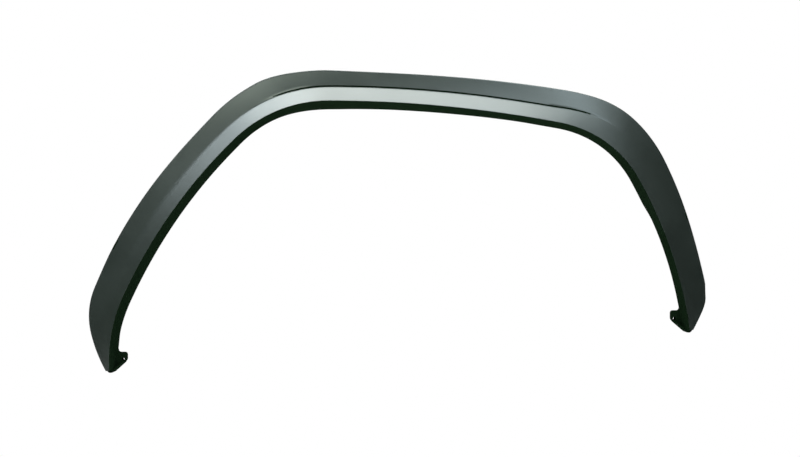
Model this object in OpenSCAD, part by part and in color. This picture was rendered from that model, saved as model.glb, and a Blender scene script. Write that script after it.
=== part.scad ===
// Wheel-arch moulding: a one-piece injection-moulded flare round a car's wheel opening.
// +X runs along the car, +Z is up and -Y is outboard. The origin is on the axis of the
// left foot's screw hole, in the plane of the body's side there.
//
// The opening edge, between the face and the return flange, is a chain of tangent arcs.
// It is walked from the left foot's tip over the roof to the right foot's tip, and s is
// the distance walked. A section across it is drawn in u, away from the wheel opening,
// and v, outboard from the body's side. The body's side is rolled about an upright axis.

/* [Opening edge] */
// Direction of the edge at the left tip, in degrees above the car's length
start_heading = 93.7; // [91:0.1:96]
// Radius of the bend in the left foot
left_foot_r = 230; // [215:5:250]
// Turn of the left foot, in degrees
left_foot_turn = 28.7; // [27:0.1:30]
// Radius of the left leg
left_leg_r = 785; // [740:5:820]
// Turn of the left leg, in degrees
left_leg_turn = 21; // [19:0.1:23]
// Radius of the left shoulder
left_shoulder_r = 200; // [185:5:220]
// Turn of the left shoulder, in degrees
left_shoulder_turn = 44.2; // [42:0.1:46]
// Radius of the roof
roof_r = 1900; // [1700:50:2100]
// Turn of the roof, in degrees
roof_turn = 10.4; // [9:0.1:12]
// Radius of the right shoulder
right_shoulder_r = 168; // [155:1:185]
// Turn of the right shoulder, in degrees
right_shoulder_turn = 49.7; // [47:0.1:52]
// Radius of the right leg
right_leg_r = 630; // [590:5:670]
// Turn of the right leg, in degrees
right_leg_turn = 21.9; // [20:0.1:24]
// Radius of the car's side in plan
side_r = 7700; // [6000:100:12000]

/* [Face width] */
// Above the left foot
face_w_left_foot = 51.5; // [48:0.5:54]
// On the left leg
face_w_left_leg = 54; // [50:0.5:58]
// At the top of the left leg
face_w_left_leg_top = 52.5; // [49:0.5:56]
// On the left shoulder
face_w_left_shoulder = 55.5; // [52:0.5:59]
// On the roof, beside the left shoulder
face_w_roof_left = 46.5; // [43:0.5:50]
// On the roof's middle
face_w_roof = 48; // [45:0.5:51]
// On the roof, beside the right shoulder
face_w_roof_right = 51.5; // [48:0.5:55]
// On the right shoulder
face_w_right_shoulder = 57; // [53:0.5:60]
// At the top of the right leg
face_w_right_leg_top = 52; // [48:0.5:55]
// Above the right foot
face_w_right_foot = 41; // [37:0.5:43]
// At each tip, where the slanting end of the foot starts
tip_w = 7; // [6.5:0.5:10]
// Widening of the left foot upwards from its tip, per millimetre
left_flare = 0.57; // [0.5:0.01:0.6]
// Widening of the right foot upwards from its tip, per millimetre
right_flare = 0.82; // [0.7:0.01:0.9]

/* [Section] */
// Wall thickness
wall = 2.5; // [2:0.1:2.8]
// Height of the opening edge over the body
face_h = 26; // [23:0.5:29]
// Height of the outer edge over the body
edge_h = 4.5; // [4:0.1:6]
// Rounding of the outer edge
edge_r = 1.2; // [0.8:0.1:1.6]
// Rounding of the opening edge
lip_r = 3; // [2.9:0.1:4]
// Distance of the crease from the opening edge
crease_w = 23; // [20:0.5:25]
// The same distance where the crease runs out on the right shoulder
crease_w_end = 31; // [28:0.5:33]
// Depth of the crease under a straight face
crease_d = 5; // [3:0.5:6]
// Half width of the soft crease on the left leg
crease_soft_leg = 5; // [3:0.5:6]
// Half width of the sharp crease on the roof
crease_soft_roof = 1; // [0.6:0.1:2]
// Depth of the fine groove along the roof's crease
groove_d = 1.1; // [0.6:0.1:1.4]
// Width of the groove's flank
groove_w = 2.4; // [1.6:0.1:3]
// Bulge of the face where it has no crease
face_bulge = 1; // [0:0.1:2]

/* [Return flange] */
// Draft of the flange, in degrees
draft = 9.5; // [8:0.5:12]
// Depth at both feet, down to the body's side
flange_d_foot = 26; // [23:0.5:29]
// Depth above the left foot
flange_d_left_foot = 23; // [22:0.5:27]
// Depth on the left leg
flange_d_left_leg = 28.5; // [26:0.5:32]
// Depth on the left shoulder
flange_d_left_shoulder = 30; // [27:0.5:33]
// Depth on the roof, beside the left shoulder
flange_d_roof_left = 39; // [36:0.5:42]
// Depth on the roof, beside the right shoulder
flange_d_roof_right = 35; // [32:0.5:38]
// Depth on the right shoulder
flange_d_right_shoulder = 28; // [26:0.5:31]
// Depth on the right leg, above its step
flange_d_right_leg = 33; // [31:0.5:37]
// Depth on the right leg, under its step
flange_d_right_step = 24.5; // [23:0.5:26]

/* [Feet] */
// Reach of the left screw tab from the tip into the wheel opening
left_reach = 20.5; // [19:0.5:22]
// Height of the left tab's upper edge over the tip
left_top = 25.5; // [24:0.5:27]
// Reach of the right screw tab
right_reach = 23; // [21:0.5:24]
// Height of the right tab's upper edge over the tip
right_top = 26.5; // [26:0.5:29]
// Thickness of the tab and of the sole under the foot
tab_t = 3; // [2.5:0.1:3.5]
// Radius of the screw hole, for a 4 mm screw
screw_r = 2.25; // [2:0.05:2.5]
// Radius of the boss round the screw hole, behind the tab
boss_r = 4; // [3.8:0.1:4.2]
// Length of the screw hole through the tab and the boss
boss_l = 13.5; // [10:0.5:16]

/* [Hidden side] */
// Number of clip houses
houses = 8; // [5:1:9]
// Width of a clip house along the opening edge
house_w = 24; // [22:0.5:28]
// Reach of a clip house across the face
house_d = 20; // [18:0.5:21]
// Width of the slot that takes a clip's neck
slot_w = 8; // [6:0.5:9]
// Thickness of the ribs and of the clip houses' walls
rib_t = 1.8; // [1.4:0.1:2.2]

/* [Hidden] */

plastic = "#3d4142";

// Arcs of the opening edge, each with its radius and its turn
ARCS = [
    [left_foot_r, left_foot_turn],
    [left_leg_r, left_leg_turn],
    [left_shoulder_r, left_shoulder_turn],
    [roof_r, roof_turn],
    [right_shoulder_r, right_shoulder_turn],
    [right_leg_r, right_leg_turn]
];
last_arc = len(ARCS) - 1;

// Where an arc that starts at p with heading h has come to after a turn
function turned(p, h, r, turn) = p + r * [sin(h) - sin(h - turn), cos(h - turn) - cos(h)];

// Distance walked, heading and place at the start of arc i
function run_to(i) = i == 0 ? 0 : run_to(i - 1) + ARCS[i - 1][0] * ARCS[i - 1][1] * PI / 180;
function heading_to(i) = i == 0 ? start_heading : heading_to(i - 1) - ARCS[i - 1][1];
function joint(i) =
    i == 0 ? [0, 0] : turned(joint(i - 1), heading_to(i - 1), ARCS[i - 1][0], ARCS[i - 1][1]);
RUNS = [for (i = [0:last_arc + 1]) run_to(i)];
HEADINGS = [for (i = [0:last_arc + 1]) heading_to(i)];
JOINTS = [for (i = [0:last_arc + 1]) joint(i)];
whole_run = RUNS[last_arc + 1];

// Heading and place of the opening edge at distance s
function arc_at(s, i = 0) = i == last_arc || s < RUNS[i + 1] ? i : arc_at(s, i + 1);
function turn_at(s, i) = (s - RUNS[i]) / ARCS[i][0] * 180 / PI;
function heading(s) = let (i = arc_at(s)) HEADINGS[i] - turn_at(s, i);
function edge(s) = let (i = arc_at(s)) turned(JOINTS[i], HEADINGS[i], ARCS[i][0], turn_at(s, i));

// Smooth curve through knots of [distance, value], level outside them
function slope(k, i) =
    i == 0 || i == len(k) - 1 ? 0 : (k[i + 1][1] - k[i - 1][1]) / (k[i + 1][0] - k[i - 1][0]);
function span(k, s, i = 0) = i == len(k) - 2 || s < k[i + 1][0] ? i : span(k, s, i + 1);
function curve(k, s) =
    s <= k[0][0] ? k[0][1] :
    s >= k[len(k) - 1][0] ? k[len(k) - 1][1] :
    let (
        i = span(k, s),
        l = k[i + 1][0] - k[i][0],
        t = (s - k[i][0]) / l
    )
    k[i][1] * (1 + 2 * t) * pow(1 - t, 2) + k[i + 1][1] * (3 - 2 * t) * t * t
    + slope(k, i) * l * t * pow(1 - t, 2) - slope(k, i + 1) * l * t * t * (1 - t);

// Smooth rise from 0 at distance a to 1 at distance b
function ramp(a, b, s) = let (t = max(0, min(1, (s - a) / (b - a)))) t * t * (3 - 2 * t);

// The lesser of a and b, rounded over where they cross
function soft_min(a, b, blend) = min(a, b) - pow(max(blend - abs(a - b), 0), 2) / (4 * blend);

// Stretches of the opening edge that the sizes refer to
left_foot = 100;
right_foot = whole_run - 50;
left_leg = 245;
left_leg_top = RUNS[2] - 30;
left_shoulder = RUNS[2] + 65;
roof_left = RUNS[3] + 32;
roof_middle = (RUNS[3] + RUNS[4]) / 2;
roof_right = RUNS[4] - 22;
right_shoulder = (RUNS[4] + RUNS[5]) / 2;
right_leg_top = RUNS[5] + 14;
step_from = RUNS[5] + 40;
step_to = RUNS[5] + 68;
left_toe = 35;
left_toe_end = 60;
left_foot_end = 120;
right_toe = whole_run - 10;
right_toe_end = whole_run - 35;

WIDTHS = [
    [left_foot, face_w_left_foot],
    [left_leg, face_w_left_leg],
    [left_leg_top, face_w_left_leg_top],
    [left_shoulder, face_w_left_shoulder],
    [roof_left, face_w_roof_left],
    [roof_middle, face_w_roof],
    [roof_right, face_w_roof_right],
    [right_shoulder, face_w_right_shoulder],
    [right_leg_top, face_w_right_leg_top],
    [right_foot, face_w_right_foot]
];
DEPTHS = [
    [left_toe, flange_d_foot],
    [left_toe_end, flange_d_left_foot],
    [left_foot_end, flange_d_left_leg],
    [left_leg_top, flange_d_left_leg],
    [left_shoulder, flange_d_left_shoulder],
    [roof_left, flange_d_roof_left],
    [roof_right, flange_d_roof_right],
    [right_shoulder, flange_d_right_shoulder],
    [right_leg_top, flange_d_right_leg],
    [step_from, flange_d_right_leg],
    [step_to, flange_d_right_step],
    [right_toe_end, flange_d_right_step],
    [right_toe, flange_d_foot]
];
SOFTNESS = [
    [left_leg, crease_soft_leg],
    [left_shoulder + 60, crease_soft_roof]
];

// Face width, where the slanting ends of the feet leave it whole and where they cut it
foot_round = 16;
function full_w(s) = curve(WIDTHS, s);
function foot_w(s) = tip_w + min(s * left_flare, (whole_run - s) * right_flare);
function face_w(s) = soft_min(full_w(s), foot_w(s), foot_round);
function flange_d(s) = curve(DEPTHS, s);

// Share of the crease's depth at distance s, depth of its groove, and its place
function crease(s) =
    ramp(left_foot - 40, left_shoulder, s) * (1 - ramp(roof_right - 60, right_shoulder + 45, s));
function groove(s) =
    groove_d * ramp(left_shoulder - 60, roof_left, s)
    * (1 - ramp(roof_right, right_shoulder + 10, s));
function crease_u(s) =
    min(crease_w + (crease_w_end - crease_w) * ramp(roof_right, right_shoulder + 35, s),
        0.5 * face_w(s));

// The section's face at distance s, as the two bands and the crease between them:
// [width, crease u, crease v, lower slope, upper slope, groove, softness, bulge]
function bands(s) =
    let (
        w = full_w(s),
        cu = crease_u(s),
        cv = face_h - (face_h - edge_h) * cu / w - crease_d * crease(s),
        g = groove(s)
    )
    [w, cu, cv, (face_h - cv + g) / cu, (cv - edge_h) / (w - cu), g,
     curve(SOFTNESS, s), face_bulge * (1 - crease(s))];

// Height of the visible face at distance u from the opening edge
function face_v(b, u) =
    let (
        lower = face_h - b[3] * u,
        upper = b[2] - b[4] * (u - b[1]) - b[5] * (1 - min(1, max(0, u - b[1]) / groove_w)),
        near = max(0, b[6] - abs(u - b[1]))
    )
    (u < b[1] ? lower : upper) + (b[3] - b[4]) * near * near / (4 * b[6])
    + b[7] * 4 * u / b[0] * (1 - u / b[0]);

// Slope of the face where it meets the rounding of the opening edge, and its centre
function lip_slope(b) = b[3] - 4 * b[7] / b[0];
function lip_centre(m) =
    let (drop = lip_r * (sqrt(1 + m * m) + m / cos(draft)) / (1 + m * tan(draft)))
    [lip_r / cos(draft) - tan(draft) * drop, face_h - drop];

// A skin of the section, from the flange's end round the lip and over the face to the
// body. An inset of 0 gives the visible skin, and an inset of wall the hidden one.
lip_steps = 4;
edge_steps = 2;
nose = 0.8;
function flange_part(s, inset) =
    let (d = flange_d(s))
    [
        for (back = [[0, nose + (wall - 2 * nose) * inset / wall], [nose, inset]])
        [back[1] / cos(draft) - tan(draft) * (d - back[0]), face_h - d + back[0]]
    ];
function lip_part(b, inset) =
    let (m = lip_slope(b), first = 180 - draft, last = 90 - atan(m))
    [
        for (k = [0:lip_steps])
        let (a = first + (last - first) * k / lip_steps)
        lip_centre(m) + (lip_r - inset) * [cos(a), sin(a)]
    ];
function face_stops(s, b) =
    let (
        from = lip_part(b, 0)[lip_steps][0],
        mid = b[1],
        to = face_w(s) - 2.5 * edge_r,
        low = max(mid - b[6], (from + mid) / 2),
        high = min(mid + max(b[6], groove_w), (mid + to) / 2)
    )
    [
        (from + low) / 2, low, (low + mid) / 2, mid, (mid + high) / 2, high,
        (high + to) / 2, to
    ];
function face_part(s, b, inset) =
    [
        for (u = face_stops(s, b))
        let (m = face_v(b, u - 0.5) - face_v(b, u + 0.5))
        [u, face_v(b, u)] - inset / sqrt(1 + m * m) * [m, 1]
    ];
function edge_part(s, b, inset) =
    let (
        w = face_w(s) - inset,
        r = max(edge_r - inset, 0.3),
        top = face_v(b, face_w(s) - edge_r) - inset
    )
    [
        for (k = [0:edge_steps])
        let (a = 75 * (1 - k / edge_steps))
        [w, top] + r * [cos(a) - 1, sin(a) - 1],
        [w, 0]
    ];
function skin(s, inset) =
    let (b = bands(s))
    concat(
        flange_part(s, inset), lip_part(b, inset), face_part(s, b, inset), edge_part(s, b, inset)
    );

// The body's side is rolled about an upright axis abreast of the middle between the tips
middle_x = (JOINTS[0][0] + JOINTS[last_arc + 1][0]) / 2;
function yaw(x) = (x - middle_x) / side_r * 180 / PI;
function rolled(p, v) =
    let (a = yaw(p[0]))
    [(side_r + v) * sin(a), side_r - (side_r + v) * cos(a), p[1]];

// The screw hole in a tab, from the foot's tip, and both tips before the origin is moved
function hole(reach, top) = [reach - 6.3, 0, top - 10];
tip = rolled(JOINTS[0], 0);
other_tip = rolled(JOINTS[last_arc + 1], 0);
origin = tip + hole(left_reach, left_top);

function place(s, p) =
    let (h = heading(s))
    rolled(edge(s) + p[0] * [-sin(h), cos(h)], p[1]) - origin;

// Children drawn with +X along the opening edge, +Y across it and +Z outboard
module at_station(s) {
    translate(place(s, [0, 0]))
        rotate([0, 0, yaw(edge(s)[0])])
        rotate([90, -heading(s), 0])
        children();
}

// An outline in u and v, as a plate of thickness t across the opening edge
module across(t) {
    rotate([90, 0, 90]) linear_extrude(t, center = true) children();
}

function spread(a, b, step) =
    let (n = ceil((b - a) / step)) [for (k = [0:n - 1]) a + (b - a) * k / n];
STATIONS = concat(
    spread(0, RUNS[1], 10),
    spread(RUNS[1], RUNS[2], 20),
    spread(RUNS[2], RUNS[3], 12),
    spread(RUNS[3], RUNS[4], 22),
    spread(RUNS[4], RUNS[5], 11),
    spread(RUNS[5], step_from, 15),
    spread(step_from, step_to, 7),
    spread(step_to, right_foot, 18),
    spread(right_foot, whole_run, 10),
    [whole_run]
);

// Both skins swept along the opening edge, and closed at their rims. The hidden skin
// stops short of both tips, where a wall closes the hollow section.
module swept_shell() {
    rings = [
        for (s = STATIONS)
        let (
            inside = min(max(s, tab_t), whole_run - tab_t),
            outer = skin(s, 0),
            inner = skin(inside, wall)
        )
        concat(
            [for (p = outer) place(s, p)],
            [for (i = [len(inner) - 1:-1:0]) place(inside, inner[i])]
        )
    ];
    n = len(rings[0]);
    m = n / 2;
    end = (len(STATIONS) - 1) * n;
    walls = [
        for (j = [0:n:end - 1], i = [0:n - 1])
        let (a = j + i, b = j + (i + 1) % n)
        each [[a, b, b + n], [a, b + n, a + n]]
    ];
    tip_walls = [
        for (skin_from = [0, m], i = [0:(m - 3) / 2])
        let (a = skin_from + i, b = skin_from + m - 1 - i)
        each b - a > 2 ? [[a, b, b - 1], [a, b - 1, a + 1]] : [[a, b, a + 1]]
    ];
    first_tip = concat(tip_walls, [[m, m - 1, 0], [m, 0, n - 1]]);
    last_tip = [for (f = first_tip) [end + f[2], end + f[1], end + f[0]]];
    polyhedron([for (r = rings) each r], concat(walls, first_tip, last_tip), convexity = 10);
}

// Middle of the wall down the flange, round the lip and over the face as far as u1,
// closed along the height v0
function channel(s, u1, v0) =
    let (b = bands(s), lip = lip_part(b, wall / 2))
    concat(
        [[lip[0][0] - tan(draft) * (lip[0][1] - v0), v0]],
        lip,
        [for (p = face_part(s, b, wall / 2)) if (p[0] < u1) p],
        [[u1, face_v(b, u1) - wall / 2], [u1, v0]]
    );

// Cross ribs that hold the flange square to the face
rib_floor = 3;
module rib(s) {
    at_station(s) across(rib_t) polygon(channel(s, face_w(s) - wall / 2, rib_floor));
}

// A clip house: a floor with a slot for the clip's neck, between two walls on the face
house_from = 6;
house_floor = 0.5;
house_floor_t = 2;
module clip_house(s) {
    at_station(s) {
        for (side = [-1, 1])
            translate([side * (house_w - rib_t) / 2, 0, 0])
                across(rib_t) polygon(channel(s, house_from + house_d, house_floor));
        difference() {
            translate([-house_w / 2 + rib_t / 2, house_from, house_floor])
                cube([house_w - rib_t, house_d, house_floor_t]);
            translate([0, house_from + house_d / 2, 0]) {
                cylinder(r = slot_w / 2, h = face_h / 2, $fn = 48);
                translate([-slot_w / 2, 0, 0]) cube([slot_w, house_d, face_h / 2]);
            }
        }
    }
}

// A foot's screw tab with the boss behind it, and the sole that closes the foot from
// the tip to the tab. Both are drawn from the tip, with the wheel opening on the +X
// side. The tab springs from the flange's end at x = root.
tab_round = 2;
left_root = 4.5;
right_root = 8;
tip_low = [-0.5, -3.4];
sole_from = [3, -2];
module tab_outline(reach, top, root) {
    offset(r = tab_round, $fn = 32) offset(delta = -tab_round)
        polygon([
            tip_low, sole_from, [reach - 3, top - 14], [reach, top - 9.5],
            [reach, top], [root + 4, top], [root + 1.2, top + 2.4], [root - 1, top + 9],
            [root - 5, top + 9]
        ]);
}
module sole_outline(reach, top) {
    polygon([
        [1.3 - tip_w, -0.7], tip_low, sole_from, [reach - 3, top - 14],
        [reach - 5, top - 12], [1.5, 0.8], [-1, 1], [1.3 - tip_w, 2]
    ]);
}
module foot(reach, top, root) {
    sole_h = face_h - 4;
    rotate([90, 0, 0]) linear_extrude(tab_t) tab_outline(reach, top, root);
    translate(hole(reach, top) + [0, boss_l - tab_t, 0])
        rotate([90, 0, 0]) cylinder(r = boss_r, h = boss_l - tab_t / 2, $fn = 64);
    difference() {
        rotate([90, 0, 0]) linear_extrude(sole_h) sole_outline(reach, top);
        translate([0, 0, -top]) linear_extrude(2 * top)
            polygon([
                [-0.5, -face_h], [-0.5, -sole_h], [5, -face_h / 2], [reach - 5, -2 * tab_t],
                [2 * reach, -2 * tab_t], [2 * reach, -face_h]
            ]);
    }
}

module screw_hole() {
    translate([0, boss_l, 0]) rotate([90, 0, 0]) cylinder(r = screw_r, h = 2 * boss_l, $fn = 64);
}

module arch_moulding() {
    first_house = 150;
    pitch = (whole_run - 2 * first_house) / (houses - 1);
    color(plastic) difference() {
        union() {
            swept_shell();
            for (k = [0:houses - 1]) clip_house(first_house + k * pitch);
            for (k = [0:houses]) rib(first_house + (k - 0.5) * pitch);
            translate(tip - origin) foot(left_reach, left_top, left_root);
            translate(other_tip - origin)
                mirror([1, 0, 0]) foot(right_reach, right_top, right_root);
        }
        screw_hole();
        translate(other_tip - origin) mirror([1, 0, 0])
            translate(hole(right_reach, right_top)) screw_hole();
    }
}

arch_moulding();
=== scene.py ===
import math

import bmesh
import bpy
from mathutils import Matrix, Vector


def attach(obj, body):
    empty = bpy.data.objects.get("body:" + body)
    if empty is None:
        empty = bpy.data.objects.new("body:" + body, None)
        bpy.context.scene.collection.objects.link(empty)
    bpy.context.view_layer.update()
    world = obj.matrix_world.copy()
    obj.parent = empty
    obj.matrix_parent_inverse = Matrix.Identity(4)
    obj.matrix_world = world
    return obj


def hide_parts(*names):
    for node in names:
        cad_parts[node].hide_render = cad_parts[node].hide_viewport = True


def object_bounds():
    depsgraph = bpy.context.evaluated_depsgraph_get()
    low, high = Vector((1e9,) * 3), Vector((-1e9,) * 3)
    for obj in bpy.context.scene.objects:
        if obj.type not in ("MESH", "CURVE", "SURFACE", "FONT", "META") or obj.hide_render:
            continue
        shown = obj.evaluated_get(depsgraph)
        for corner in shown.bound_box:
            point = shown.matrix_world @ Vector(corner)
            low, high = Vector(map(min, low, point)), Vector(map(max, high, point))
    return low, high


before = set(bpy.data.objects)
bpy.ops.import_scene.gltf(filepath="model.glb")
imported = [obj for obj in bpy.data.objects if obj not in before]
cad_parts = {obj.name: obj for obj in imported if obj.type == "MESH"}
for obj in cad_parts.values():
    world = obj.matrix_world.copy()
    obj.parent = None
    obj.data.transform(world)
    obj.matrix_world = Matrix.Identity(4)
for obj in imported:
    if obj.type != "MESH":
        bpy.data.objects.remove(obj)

cad_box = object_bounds()
MM = 0.001
NODE = "arch_moulding"

# The moulding's sizes in millimetres: the part's, with a sharper lip and finer rims and toes
START_HEADING = 93.7
ARCS = [(230, 28.7), (785, 21.0), (200, 44.2), (1900, 10.4), (168, 49.7), (630, 21.9)]
SIDE_R = 7700
TIP_W, LEFT_FLARE, RIGHT_FLARE, FOOT_ROUND = 7, 0.57, 0.87, 16
WALL, FACE_H, EDGE_H, EDGE_R, LIP_R, LIP_IN = 2.5, 24.6, 3.1, 1.2, 1.2, 0.4
CREASE_W, CREASE_W_END, CREASE_D = 23, 31, 5
CREASE_SOFT_LEG, CREASE_SOFT_ROOF = 5, 1
GROOVE_D, GROOVE_W, FACE_BULGE, FACE_SAG = 1.4, 2.4, 1, 0.3
DRAFT = math.radians(12.5)
TAB_T, SCREW_R, SCREW_R_BACK, BOSS_R, BOSS_L = 3, 2.25, 1.75, 4, 13.5
HOUSES, HOUSE_W, HOUSE_D, SLOT_W, RIB_T = 8, 24, 20, 8, 1.8
HOUSE_FROM, HOUSE_FLOOR, HOUSE_FLOOR_T, RIB_FLOOR = 6, 0.5, 2, 3
FIRST_HOUSE = 150
LEFT_FOOT = {"reach": 21, "top": 26.6, "root": 6.8, "hole": (14.2, 15.5)}
RIGHT_FOOT = {"reach": 23, "top": 29, "root": 9.3, "hole": (16.7, 16.5)}


# The opening edge: a chain of tangent arcs from the left tip to the right tip
def turned(p, h, r, turn):
    k = h - turn
    return (p[0] + r * (math.sin(h) - math.sin(k)), p[1] + r * (math.cos(k) - math.cos(h)))


RUNS, HEADINGS, JOINTS = [0.0], [math.radians(START_HEADING)], [(0.0, 0.0)]
for radius, degrees in ARCS:
    bend = math.radians(degrees)
    JOINTS.append(turned(JOINTS[-1], HEADINGS[-1], radius, bend))
    RUNS.append(RUNS[-1] + radius * bend)
    HEADINGS.append(HEADINGS[-1] - bend)
WHOLE = RUNS[-1]


def edge(s):
    """Place and heading of the opening edge at distance s."""
    i = max((k for k in range(len(ARCS)) if RUNS[k] <= s), default=0)
    bend = (s - RUNS[i]) / ARCS[i][0]
    return turned(JOINTS[i], HEADINGS[i], ARCS[i][0], bend), HEADINGS[i] - bend


def curve(knots, s):
    """Smooth curve through knots of (distance, value), level outside them."""
    if s <= knots[0][0]:
        return knots[0][1]
    if s >= knots[-1][0]:
        return knots[-1][1]

    def slope(i):
        if i in (0, len(knots) - 1):
            return 0
        (a, low), (b, high) = knots[i - 1], knots[i + 1]
        return (high - low) / (b - a)

    i = max(k for k in range(len(knots) - 1) if knots[k][0] <= s)
    gap = knots[i + 1][0] - knots[i][0]
    t = (s - knots[i][0]) / gap
    return (
        knots[i][1] * (1 + 2 * t) * (1 - t) ** 2 + knots[i + 1][1] * (3 - 2 * t) * t * t
        + slope(i) * gap * t * (1 - t) ** 2 - slope(i + 1) * gap * t * t * (1 - t)
    )


def ramp(a, b, s):
    t = min(max((s - a) / (b - a), 0), 1)
    return t * t * (3 - 2 * t)


LEFT_LEG, LEFT_LEG_TOP, LEFT_SHOULDER = 245, RUNS[2] - 30, RUNS[2] + 65
ROOF_LEFT, ROOF_MIDDLE, ROOF_RIGHT = RUNS[3] + 32, (RUNS[3] + RUNS[4]) / 2, RUNS[4] - 22
RIGHT_SHOULDER, RIGHT_LEG_TOP = (RUNS[4] + RUNS[5]) / 2, RUNS[5] + 14
STEP_FROM, STEP_TO = RUNS[5] + 40, RUNS[5] + 68
WIDTHS = [
    (105, 50.7), (165, 52.6), (LEFT_LEG, 53), (LEFT_LEG_TOP, 51.8), (LEFT_SHOULDER - 18, 54),
    (LEFT_SHOULDER + 10, 54.8), (ROOF_LEFT - 66, 50.3), (ROOF_LEFT - 14, 48), (ROOF_LEFT + 11, 47.4),
    (ROOF_LEFT + 60, 47), (ROOF_MIDDLE, 48),
    (ROOF_RIGHT, 51.9), (ROOF_RIGHT + 38, 53.3), (RIGHT_SHOULDER - 18, 57.4), (RIGHT_SHOULDER + 10, 57.9),
    (RIGHT_LEG_TOP, 52.4), (WHOLE - 50, 42.6),
]
DEPTHS = [
    (15, 24.6), (35, 28), (60, 27), (120, 31), (LEFT_LEG_TOP, 31), (LEFT_SHOULDER, 29.5),
    (ROOF_LEFT - 44, 40), (ROOF_LEFT + 14, 37), (ROOF_LEFT + 51, 34.8), (ROOF_MIDDLE, 32.5),
    (ROOF_RIGHT - 40, 28), (ROOF_RIGHT, 28.5), (RIGHT_SHOULDER, 26), (RIGHT_LEG_TOP, 28), (STEP_FROM, 28),
    (STEP_TO, 22.5), (WHOLE - 35, 22.5), (WHOLE - 10, 24.6),
]
SOFTNESS = [(LEFT_LEG, CREASE_SOFT_LEG), (LEFT_SHOULDER + 60, CREASE_SOFT_ROOF)]
CREASE_IN = [(60, 0), (LEFT_LEG - 35, 0.58), (LEFT_LEG + 55, 0.72), (LEFT_LEG_TOP, 0.8), (LEFT_SHOULDER, 1)]


def full_w(s):
    return curve(WIDTHS, s)


def face_w(s):
    a, b = full_w(s), TIP_W + min(s * LEFT_FLARE, (WHOLE - s) * RIGHT_FLARE)
    return min(a, b) - max(FOOT_ROUND - abs(a - b), 0) ** 2 / (4 * FOOT_ROUND)


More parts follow.
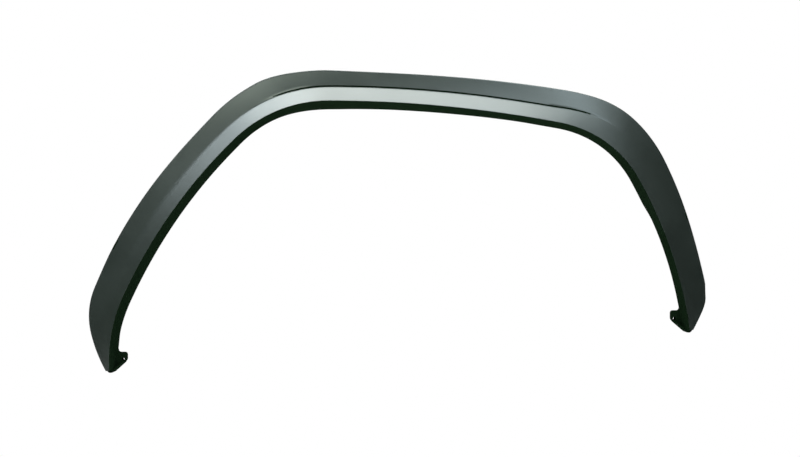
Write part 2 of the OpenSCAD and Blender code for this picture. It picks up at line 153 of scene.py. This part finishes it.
class Section:
    """The section across the opening edge at distance s, in u away from the opening and v outboard."""

    def __init__(self, s):
        crease = curve(CREASE_IN, s) * (1 - ramp(ROOF_RIGHT - 60, RIGHT_SHOULDER + 45, s))
        grown = ramp(ROOF_RIGHT, RIGHT_SHOULDER + 35, s)
        self.w, self.full = face_w(s), full_w(s)
        self.mid = min(CREASE_W + (CREASE_W_END - CREASE_W) * grown, 0.5 * self.w)
        self.mid_v = FACE_H - (FACE_H - EDGE_H) * self.mid / self.full - CREASE_D * crease
        self.groove = GROOVE_D * ramp(LEFT_SHOULDER - 15, LEFT_SHOULDER + 60, s) * (
            1 - ramp(ROOF_RIGHT, RIGHT_SHOULDER + 10, s)
        )
        self.lower = (FACE_H - self.mid_v + self.groove) / self.mid
        self.upper = (self.mid_v - EDGE_H) / (self.full - self.mid)
        self.soft = curve(SOFTNESS, s)
        self.bulge = FACE_BULGE * (1 - crease)
        self.sag = FACE_SAG * crease
        self.depth = curve(DEPTHS, s)
        self.slope = self.lower - 4 * self.bulge / self.full
        self.lip_angles = (math.pi - DRAFT, math.pi / 2 - math.atan(self.slope))

    def lip_round(self, inset):
        """Radius of the opening edge's rounding under a skin's inset, and its centre."""
        r = max(LIP_R - inset, LIP_IN)
        away, m = inset + r, self.slope
        drop = away * (math.sqrt(1 + m * m) + m / math.cos(DRAFT)) / (1 + m * math.tan(DRAFT))
        return r, away / math.cos(DRAFT) - math.tan(DRAFT) * drop, FACE_H - drop

    def face_v(self, u):
        over, band = u - self.mid, self.full - self.mid
        upper = self.mid_v - self.upper * over - 4 * self.sag * over / band * (1 - over / band)
        upper -= self.groove * (1 - min(1, max(0, over) / GROOVE_W))
        bend = self.lower - self.upper - 4 * self.sag / band
        near = max(0, self.soft - abs(over))
        return (
            (FACE_H - self.lower * u if over < 0 else upper)
            + bend * near * near / (4 * self.soft)
            + self.bulge * 4 * u / self.full * (1 - u / self.full)
        )

    def flange_part(self, inset):
        side = 2 * inset / WALL - 1
        points = []
        for k in range(FLANGE_STEPS + 1):
            a = math.pi / 2 * (1 - min(k, NOSE_STEPS) / NOSE_STEPS)
            across = WALL / 2 + side * (WALL / 2 - NOSE_R * (1 - math.cos(a)))
            back = NOSE_R * (1 - math.sin(a))
            if k > NOSE_STEPS:
                rest = self.depth - (FACE_H - self.lip_round(inset)[2]) - back
                back += rest * (k - NOSE_STEPS) / (FLANGE_STEPS + 1 - NOSE_STEPS)
            points.append((
                across / math.cos(DRAFT) - math.tan(DRAFT) * (self.depth - back),
                FACE_H - self.depth + back,
            ))
        return points

    def lip_part(self, inset):
        first, last = self.lip_angles
        r, u, v = self.lip_round(inset)
        return [
            (u + r * math.cos(a), v + r * math.sin(a))
            for a in (first + (last - first) * k / LIP_STEPS for k in range(LIP_STEPS + 1))
        ]

    def lip_end(self, inset):
        """Where on the face the rounding of a skin ends."""
        return self.lip_part(inset)[-1][0] + inset * math.sin(math.atan(self.slope))

    def face_stops(self, inset):
        start, end = self.lip_end(WALL), self.w - 2.5 * EDGE_R
        mid = max(self.mid, 0.9 * start + 0.1 * end)
        low = max(mid - self.soft, (start + mid) / 2)
        high = min(mid + max(self.soft, GROOVE_W), (mid + end) / 2)
        stops = [self.lip_end(inset) + min(0.3, (low - start) / 12)]
        for a, b, n in ((start, low, 6), (low, mid, 5), (mid, high, 5), (high, end, 8)):
            stops += [a + (b - a) * (k + 1) / n for k in range(n)]
        return stops

    def face_part(self, inset):
        points = []
        for u in self.face_stops(inset):
            m = 2 * (self.face_v(u - 0.25) - self.face_v(u + 0.25))
            run = inset / math.sqrt(1 + m * m)
            points.append((u - run * m, self.face_v(u) - run))
        return points

    def edge_part(self, inset):
        w, r = self.w - inset, max(EDGE_R - inset, 0.3)
        top = self.face_v(self.w - EDGE_R) - inset
        angles = [math.radians(75) * (1 - k / EDGE_STEPS) for k in range(EDGE_STEPS + 1)]
        rounded = [(w + r * (math.cos(a) - 1), top + r * (math.sin(a) - 1)) for a in angles]
        last = (w + (inset - WALL / 2) * 0.25, 0)
        return rounded + [(w, FOOT_V + 0.5 * (top - r - FOOT_V)), (w, FOOT_V), last]

    def skin(self, inset):
        return (
            self.flange_part(inset) + self.lip_part(inset) + self.face_part(inset) + self.edge_part(inset)
        )

    def channel(self, end, floor):
        """Middle of the wall from the flange to the face, as far as end, closed along v = floor."""
        lip = self.lip_part(WALL / 2)
        foot = (lip[0][0] - math.tan(DRAFT) * (lip[0][1] - floor), floor)
        face = [p for p in self.face_part(WALL / 2) if p[0] < end]
        return [foot] + lip + face + [(end, self.face_v(end) - WALL / 2), (end, floor)]


FLANGE_STEPS, NOSE_STEPS, LIP_STEPS, EDGE_STEPS, NOSE_R, FOOT_V = 8, 3, 10, 5, 1.05, 0.4

# The body's side is rolled about an upright axis abreast of the middle between the tips
MIDDLE_X = JOINTS[-1][0] / 2


def rolled(p, v):
    a = (p[0] - MIDDLE_X) / SIDE_R
    return Vector(((SIDE_R + v) * math.sin(a), SIDE_R - (SIDE_R + v) * math.cos(a), p[1]))


def hole(foot):
    return Vector((foot["hole"][0], 0, foot["hole"][1]))


TIP, OTHER_TIP = rolled(JOINTS[0], 0), rolled(JOINTS[-1], 0)
ORIGIN = TIP + hole(LEFT_FOOT)


def place(s, u, v):
    (x, z), h = edge(s)
    return rolled((x - u * math.sin(h), z + u * math.cos(h)), v) - ORIGIN


def at_station(s):
    """Axes along the opening edge, across it and outboard, at distance s."""
    (x, _), h = edge(s)
    yaw = (x - MIDDLE_X) / SIDE_R
    turn = Matrix.Rotation(yaw, 4, "Z") @ Matrix.Rotation(-h, 4, "Y") @ Matrix.Rotation(math.pi / 2, 4, "X")
    return Matrix.Translation(place(s, 0, 0)) @ turn


# Mesh builders, in millimetres until a mesh becomes an object
def mesh_object(name, points, faces):
    mesh = bpy.data.meshes.new(name)
    mesh.from_pydata([Vector(p) * MM for p in points], [], faces)
    made = bpy.data.objects.new(name, mesh)
    bpy.context.collection.objects.link(made)
    bm = bmesh.new()
    bm.from_mesh(mesh)
    bmesh.ops.recalc_face_normals(bm, faces=bm.faces)
    # A piece that comes out inside out is turned over
    if bm.calc_volume(signed=True) < 0:
        bmesh.ops.reverse_faces(bm, faces=bm.faces)
    bm.to_mesh(mesh)
    bm.free()
    return made


def prism(name, outline, low, high, matrix=Matrix(), bevel=0.0, lower=None):
    """An outline in the first two axes, raised from low to high (numbers, or a height for each point).
    A lower outline, with as many points, tapers it."""
    n = len(outline)
    highs = high if isinstance(high, list) else [high] * n
    points = [matrix @ Vector((x, y, low)) for x, y in lower or outline]
    points += [matrix @ Vector((x, y, z)) for (x, y), z in zip(outline, highs)]
    sides = [(i, (i + 1) % n, n + (i + 1) % n, n + i) for i in range(n)]
    made = mesh_object(name, points, sides + [tuple(range(n))[::-1], tuple(range(n, 2 * n))])
    if bevel:
        bm = bmesh.new()
        bm.from_mesh(made.data)
        sharp = [e for e in bm.edges if e.is_manifold and e.calc_face_angle(0) > math.radians(60)]
        bmesh.ops.bevel(bm, geom=sharp, offset=bevel * MM, segments=2, affect="EDGES", profile=0.5)
        bm.to_mesh(made.data)
        bm.free()
    return made


def combine(base, others, operation):
    """Applies a boolean of the others to the base, and deletes them."""
    group = bpy.data.collections.new("operands")
    for o in others:
        group.objects.link(o)
    step = base.modifiers.new("combine", "BOOLEAN")
    step.operation, step.operand_type, step.collection = operation, "COLLECTION", group
    step.solver, step.use_self = "EXACT", True
    mesh = bpy.data.meshes.new_from_object(base.evaluated_get(bpy.context.evaluated_depsgraph_get()))
    base.modifiers.clear()
    base.data = mesh
    for o in others:
        bpy.data.objects.remove(o)
    bpy.data.collections.remove(group)
    return base


def rounded(outline, radius, steps=6):
    """An outline with each corner rounded, as far as its sides leave room."""
    points = []
    for i, corner in enumerate(outline):
        here = Vector(corner)
        a, b = Vector(outline[i - 1]) - here, Vector(outline[(i + 1) % len(outline)]) - here
        opening = a.angle(b)
        back = min(radius / math.tan(opening / 2), 0.45 * a.length, 0.45 * b.length)
        start, end = here + a.normalized() * back, here + b.normalized() * back
        for k in range(steps + 1):
            t = k / steps
            points.append(tuple((1 - t) ** 2 * start + 2 * t * (1 - t) * here + t * t * end))
    return points


# The swept shell, finer than the solid's. The hidden skin stops short of both tips.
STATION_STEP = 5
count = round(WHOLE / STATION_STEP)
stations = [WHOLE * k / count for k in range(count + 1)]
points = []
for s in stations:
    inside = min(max(s, TAB_T), WHOLE - TAB_T)
    points += [place(s, u, v) for u, v in Section(s).skin(0)]
    points += [place(inside, u, v) for u, v in Section(inside).skin(WALL)[::-1]]
n = len(points) // (count + 1)
m = n // 2
faces = [
    (j * n + i, j * n + (i + 1) % n, (j + 1) * n + (i + 1) % n, (j + 1) * n + i)
    for j in range(count) for i in range(n)
]
for first in (0, count * n):
    outline = [first + i for i in range(n)]
    faces += [outline[:m], outline[m:], (outline[0], outline[m - 1], outline[m], outline[-1])]
shell = mesh_object("arch_moulding_skin", points, faces)

# Ribs and clip houses of the hidden side
ACROSS = Matrix(((0, 0, 1, 0), (1, 0, 0, 0), (0, 1, 0, 0), (0, 0, 0, 1)))


def cross_plate(name, s, shift, thick, end, floor):
    section = Section(s)
    outline = section.channel(face_w(s) - WALL / 2 if end is None else end, floor)
    matrix = at_station(s) @ Matrix.Translation((shift, 0, 0)) @ ACROSS
    return prism(name, outline, -thick / 2, thick / 2, matrix)


hidden = []
pitch = (WHOLE - 2 * FIRST_HOUSE) / (HOUSES - 1)
for k in range(HOUSES):
    s = FIRST_HOUSE + k * pitch
    for side in (-1, 1):
        shift = side * (HOUSE_W - RIB_T) / 2
        hidden.append(cross_plate("house_wall", s, shift, RIB_T, HOUSE_FROM + HOUSE_D, HOUSE_FLOOR))
    half, near, far, mid = (HOUSE_W - RIB_T) / 2, HOUSE_FROM, HOUSE_FROM + HOUSE_D, HOUSE_FROM + HOUSE_D / 2
    turns = [math.pi * i / 12 for i in range(13)]
    arc = [(-SLOT_W / 2 * math.cos(a), mid - SLOT_W / 2 * math.sin(a)) for a in turns]
    floor_outline = [(-half, near), (half, near), (half, far), (SLOT_W / 2, far)] + arc[::-1]
    floor_outline += [(-SLOT_W / 2, far), (-half, far)]
    top = HOUSE_FLOOR + HOUSE_FLOOR_T
    hidden.append(prism("house_floor", floor_outline, HOUSE_FLOOR, top, at_station(s)))
for k in range(HOUSES + 1):
    hidden.append(cross_plate("rib", FIRST_HOUSE + (k - 0.5) * pitch, 0, RIB_T, None, RIB_FLOOR))

# Feet: the screw tab, the boss behind it and the sole, drawn from the tip
UPRIGHT = Matrix(((1, 0, 0, 0), (0, 0, -1, 0), (0, 1, 0, 0), (0, 0, 0, 1)))
TIP_LOW, SOLE_FROM = (-1.2, -3.4), (3, -2.4)


def foot(name, tip, sizes, flip):
    reach, top, root = sizes["reach"], sizes["top"], sizes["root"]
    low = sizes["hole"][1] - 4.2
    base = Matrix.Translation(tip - ORIGIN) @ Matrix.Diagonal((-1 if flip else 1, 1, 1, 1)) @ UPRIGHT
    tab = rounded([
        TIP_LOW, SOLE_FROM, (reach - 2.8, low), (reach, low + 4.7), (reach, top), (root + 3, top),
        (root + 1, top + 1.6), (root - 1, top + 9), (root - 5, top + 9),
    ], 4.5)
    sole_h = FACE_H - 4
    sole = [
        (0.6 - TIP_W, -0.2), (-4.6, -2.2), (-3.2, -3.1), TIP_LOW, (1.2, -3.1), SOLE_FROM, (5, -0.5),
        (reach - 2.8, low), (reach - 4.8, low + 2), (5, 4), (1.5, 0.8), (-1, 1), (0.6 - TIP_W, 2),
    ]

    def sole_height(x):
        if x < 0:
            return sole_h
        return max(2 * TAB_T, curve([(-0.5, sole_h), (5, FACE_H / 2), (reach - 5, 2 * TAB_T)], x))

    heights = [sole_height(x) for x, _ in sole]
    turn = [(math.cos(a), math.sin(a)) for a in (2 * math.pi * i / 48 for i in range(48))]
    at = hole(sizes)
    boss = [(at.x + BOSS_R * c, at.z + BOSS_R * d) for c, d in turn]
    bore = [(at.x + SCREW_R * c, at.z + SCREW_R * d) for c, d in turn]
    bore_back = [(at.x + SCREW_R_BACK * c, at.z + SCREW_R_BACK * d) for c, d in turn]
    made = prism(name + "_tab", tab, 0, TAB_T, base, bevel=0.4)
    parts = [
        prism(name + "_sole", sole, 0, heights, base, bevel=0.3),
        prism(name + "_boss", boss, TAB_T - BOSS_L, TAB_T / 2, base, bevel=0.4),
    ]
    made = combine(made, parts, "UNION")
    drill = prism(name + "_bore", bore, -BOSS_L, 2 * TAB_T, base, lower=bore_back)
    return combine(made, [drill], "DIFFERENCE")


feet = [
    foot("left_foot", TIP, LEFT_FOOT, False),
    foot("right_foot", OTHER_TIP, RIGHT_FOOT, True),
]
moulding = combine(shell, hidden + feet, "UNION")
moulding.name = "arch_moulding_skin"
WELD = 0.003
tidied = bmesh.new()
tidied.from_mesh(moulding.data)
bmesh.ops.remove_doubles(tidied, verts=tidied.verts, dist=WELD * MM)
bmesh.ops.dissolve_degenerate(tidied, edges=tidied.edges, dist=WELD * MM)
for v in tidied.verts:
    v.co = [min(max(c, low), high) for c, low, high in zip(v.co, *cad_box)]
tidied.to_mesh(moulding.data)
tidied.free()


# Materials: the grained face, the plainer back, and for the flange a duller copy of the same plastic, made
# darker and greener as painted shade
def node(tree, kind, **inputs):
    made = tree.nodes.new(kind)
    for key, value in inputs.items():
        made.inputs[key.replace("_", " ")].default_value = value
    return made


def plastic(name, light, dark, roughness, specular, grain_depth):
    made = bpy.data.materials.new(name)
    made.use_nodes = True
    tree = made.node_tree
    link = tree.links.new
    shader = tree.nodes["Principled BSDF"]
    shader.inputs["Specular IOR Level"].default_value = specular
    spot = tree.nodes.new("ShaderNodeTexCoord")

    clouds = node(tree, "ShaderNodeTexNoise", Scale=9, Detail=4, Roughness=0.6)
    link(spot.outputs["Object"], clouds.inputs["Vector"])
    flecks = node(tree, "ShaderNodeTexNoise", Scale=420, Detail=3, Roughness=0.7)
    link(spot.outputs["Object"], flecks.inputs["Vector"])
    blend = tree.nodes.new("ShaderNodeMath")
    blend.operation = "MULTIPLY_ADD"
    blend.inputs[1].default_value = 0.35
    link(flecks.outputs["Fac"], blend.inputs[0])
    link(clouds.outputs["Fac"], blend.inputs[2])
    tint = tree.nodes.new("ShaderNodeValToRGB")
    tint.color_ramp.elements[0].position, tint.color_ramp.elements[0].color = 0.45, (*dark, 1)
    tint.color_ramp.elements[1].position, tint.color_ramp.elements[1].color = 0.9, (*light, 1)
    link(blend.outputs[0], tint.inputs["Fac"])
    link(tint.outputs["Color"], shader.inputs["Base Color"])

    wipe = tree.nodes.new("ShaderNodeMapRange")
    wipe.inputs["From Min"].default_value, wipe.inputs["From Max"].default_value = 0.3, 0.7
    wipe.inputs["To Min"].default_value = roughness - 0.035
    wipe.inputs["To Max"].default_value = roughness + 0.035
    link(clouds.outputs["Fac"], wipe.inputs["Value"])
    link(wipe.outputs["Result"], shader.inputs["Roughness"])

    pebbles = node(tree, "ShaderNodeTexVoronoi", Scale=950)
    pebbles.feature = "SMOOTH_F1"
    link(spot.outputs["Object"], pebbles.inputs["Vector"])
    grit = node(tree, "ShaderNodeTexNoise", Scale=1800, Detail=2, Roughness=0.6)
    link(spot.outputs["Object"], grit.inputs["Vector"])
    grain = tree.nodes.new("ShaderNodeMath")
    grain.operation = "MULTIPLY_ADD"
    grain.inputs[1].default_value = 0.6
    link(grit.outputs["Fac"], grain.inputs[0])
    link(pebbles.outputs["Distance"], grain.inputs[2])
    bump = node(tree, "ShaderNodeBump", Strength=0.35, Distance=grain_depth * MM)
    link(grain.outputs[0], bump.inputs["Height"])
    link(bump.outputs["Normal"], shader.inputs["Normal"])
    return made


face_plastic = plastic("grained_face", (0.022, 0.028, 0.024), (0.015, 0.02, 0.017), 0.34, 1.0, 0.02)
plain_plastic = plastic("plain_back", (0.016, 0.021, 0.018), (0.01, 0.014, 0.012), 0.6, 0.4, 0.02)
# The flange, tabs and soles: the same plastic made darker and greener as painted shade, with no gloss
painted_shade_plastic = plastic("painted_shade_flange", (0.008, 0.016, 0.008), (0.005, 0.011, 0.005), 0.95, 0.0, 0.02)
moulding.data.materials.clear()
for material in (face_plastic, plain_plastic, painted_shade_plastic):
    moulding.data.materials.append(material)


# Limits of a face's normal, and lengths in metres, where one finish, or the painted shade, gives way to
# another
BACK_FROM, FRONT_TO, OUTWARD_FROM = 0.3, -0.6, 0.12
TAB_FRONT, RIM_FROM, TOE_FROM, LEFT_TOE_H, RIGHT_TOE_H = -0.0042, 0.002, 0.0003, 0.025, 0.027
LEFT_END, RIGHT_END = 0.1, 0.7


def finish_or_shade_of(center, normal):
    """0 on the grained face, 1 on the hidden side, and 2, the darker copy that paints shade, on the flange,
    the tabs and the soles.
    """
    if normal.y > BACK_FROM:
        return 1
    left, right = (TIP - ORIGIN) * MM, (OTHER_TIP - ORIGIN) * MM
    on_left_toe = center.x > left.x - TOE_FROM and center.z < left.z + LEFT_TOE_H
    on_right_toe = center.x < right.x + TOE_FROM and center.z < right.z + RIGHT_TOE_H
    away = Vector((center.x - MIDDLE_X * MM - left.x, 0, center.z)).normalized()
    past_tips = center.x < left.x - RIM_FROM or center.x > right.x + RIM_FROM
    off_tabs = center.y < TAB_FRONT or past_tips
    on_toe = on_left_toe and center.x < LEFT_END or on_right_toe and center.x > RIGHT_END
    faces_out = normal.y < FRONT_TO and normal.dot(away) > OUTWARD_FROM and off_tabs
    return 0 if faces_out and not on_toe else 2


# The flange, the tabs and the toes get the darker copy as painted shade
for f in moulding.data.polygons:
    f.use_smooth = True
    f.material_index = finish_or_shade_of(f.center, f.normal)
moulding.data.set_sharp_from_angle(angle=math.radians(32))

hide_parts(NODE)
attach(moulding, "root")


# Stage: pale floor and backdrop, which show as white. The floor keeps the moulding's shadow near it,
# and grows fully white behind it.
WHITE_FROM, WHITE_TO, WHITE_NEAR, PALE = 0.6, 1.2, 0.9, 0.92


def pale(name):
    made = bpy.data.materials.new(name)
    made.use_nodes = True
    tree = made.node_tree
    tree.nodes.clear()
    link = tree.links.new
    out = tree.nodes.new("ShaderNodeOutputMaterial")
    matte = node(tree, "ShaderNodeBsdfDiffuse", Color=(PALE, PALE, PALE, 1))
    glow = node(tree, "ShaderNodeEmission", Color=(1, 1, 1, 1), Strength=1)
    path = tree.nodes.new("ShaderNodeLightPath")
    seen = tree.nodes.new("ShaderNodeMath")
    seen.operation = "ADD"
    link(path.outputs["Is Camera Ray"], seen.inputs[0])
    link(path.outputs["Is Glossy Ray"], seen.inputs[1])
    also = tree.nodes.new("ShaderNodeMath")
    also.operation, also.use_clamp = "ADD", True
    link(seen.outputs[0], also.inputs[0])
    link(path.outputs["Is Transmission Ray"], also.inputs[1])
    share = tree.nodes.new("ShaderNodeMath")
    share.operation = "MULTIPLY"
    spot = tree.nodes.new("ShaderNodeTexCoord")
    split = tree.nodes.new("ShaderNodeSeparateXYZ")
    link(spot.outputs["Object"], split.inputs[0])
    white = tree.nodes.new("ShaderNodeMapRange")
    white.inputs["From Min"].default_value, white.inputs["From Max"].default_value = WHITE_FROM, WHITE_TO
    white.inputs["To Min"].default_value, white.inputs["To Max"].default_value = WHITE_NEAR, 1
    link(split.outputs["Y"], white.inputs["Value"])
    link(white.outputs["Result"], share.inputs[1])
    link(also.outputs[0], share.inputs[0])
    mix = tree.nodes.new("ShaderNodeMixShader")
    link(share.outputs[0], mix.inputs["Fac"])
    link(matte.outputs[0], mix.inputs[1])
    link(glow.outputs[0], mix.inputs[2])
    link(mix.outputs[0], out.inputs["Surface"])
    return made


VIEW_X, VIEW_Z, VIEW_D, VIEW_PLANE = 0.41708, 0.1969, 2.0, -0.01205
FLOOR_Z, FLOOR_FRONT, BACK_Y, SIDE = -0.37, -0.9, 4.2, 2.2
floor_points = [
    (VIEW_X - SIDE, FLOOR_FRONT, FLOOR_Z), (VIEW_X + SIDE, FLOOR_FRONT, FLOOR_Z),
    (VIEW_X + SIDE, BACK_Y, FLOOR_Z), (VIEW_X - SIDE, BACK_Y, FLOOR_Z),
]
floor = mesh_object("floor", [Vector(p) / MM for p in floor_points], [(0, 1, 2, 3)])
back_points = [
    (VIEW_X - SIDE, BACK_Y, FLOOR_Z), (VIEW_X + SIDE, BACK_Y, FLOOR_Z),
    (VIEW_X + SIDE, BACK_Y, FLOOR_Z + SIDE), (VIEW_X - SIDE, BACK_Y, FLOOR_Z + SIDE),
]
backdrop = mesh_object("backdrop", [Vector(p) / MM for p in back_points], [(0, 3, 2, 1)])
floor.data.materials.append(pale("pale_floor"))
backdrop.data.materials.append(pale("pale_backdrop"))


# Light: a long softbox overhead, and smaller ones at the left, in front and at the right
def softbox(name, place, width, height, power, color):
    light = bpy.data.lights.new(name, "AREA")
    light.shape, light.size, light.size_y = "RECTANGLE", width, height
    light.energy, light.color = power, color
    made = bpy.data.objects.new(name, light)
    made.location = place
    made.rotation_euler = (Vector((VIEW_X, 0, 0.2)) - Vector(place)).to_track_quat("-Z", "Y").to_euler()
    bpy.context.collection.objects.link(made)


softbox("overhead", (0.43, -0.08, 2.42), 3.6, 0.9, 119, (0.93, 1.0, 0.97))
softbox("left", (-0.98, -0.56, 1.99), 0.4, 1.8, 21, (0.82, 0.95, 1.0))
softbox("front_left", (-0.23, -1.58, 0.78), 0.53, 0.62, 10.8, (0.86, 1.0, 0.87))
softbox("right", (1.06, -1.09, 1.48), 0.49, 1.8, 13.2, (0.78, 0.95, 1.0))

world = bpy.data.worlds.new("studio")
world.use_nodes = True
world.node_tree.nodes["Background"].inputs["Color"].default_value = (1, 1, 1, 1)
world.node_tree.nodes["Background"].inputs["Strength"].default_value = 0.025
bpy.context.scene.world = world
bpy.context.scene.view_settings.view_transform = "Standard"

# The photograph's camera: level and straight on, 2 m from the body's side
FRAME_WIDTH = 1.2
lens = bpy.data.cameras.new("camera")
lens.sensor_width = 36
lens.lens = lens.sensor_width * VIEW_D / FRAME_WIDTH
camera = bpy.data.objects.new("camera", lens)
camera.location = (VIEW_X, VIEW_PLANE - VIEW_D, VIEW_Z)
camera.rotation_euler = (math.pi / 2, 0, 0)
bpy.context.collection.objects.link(camera)
bpy.context.scene.camera = camera
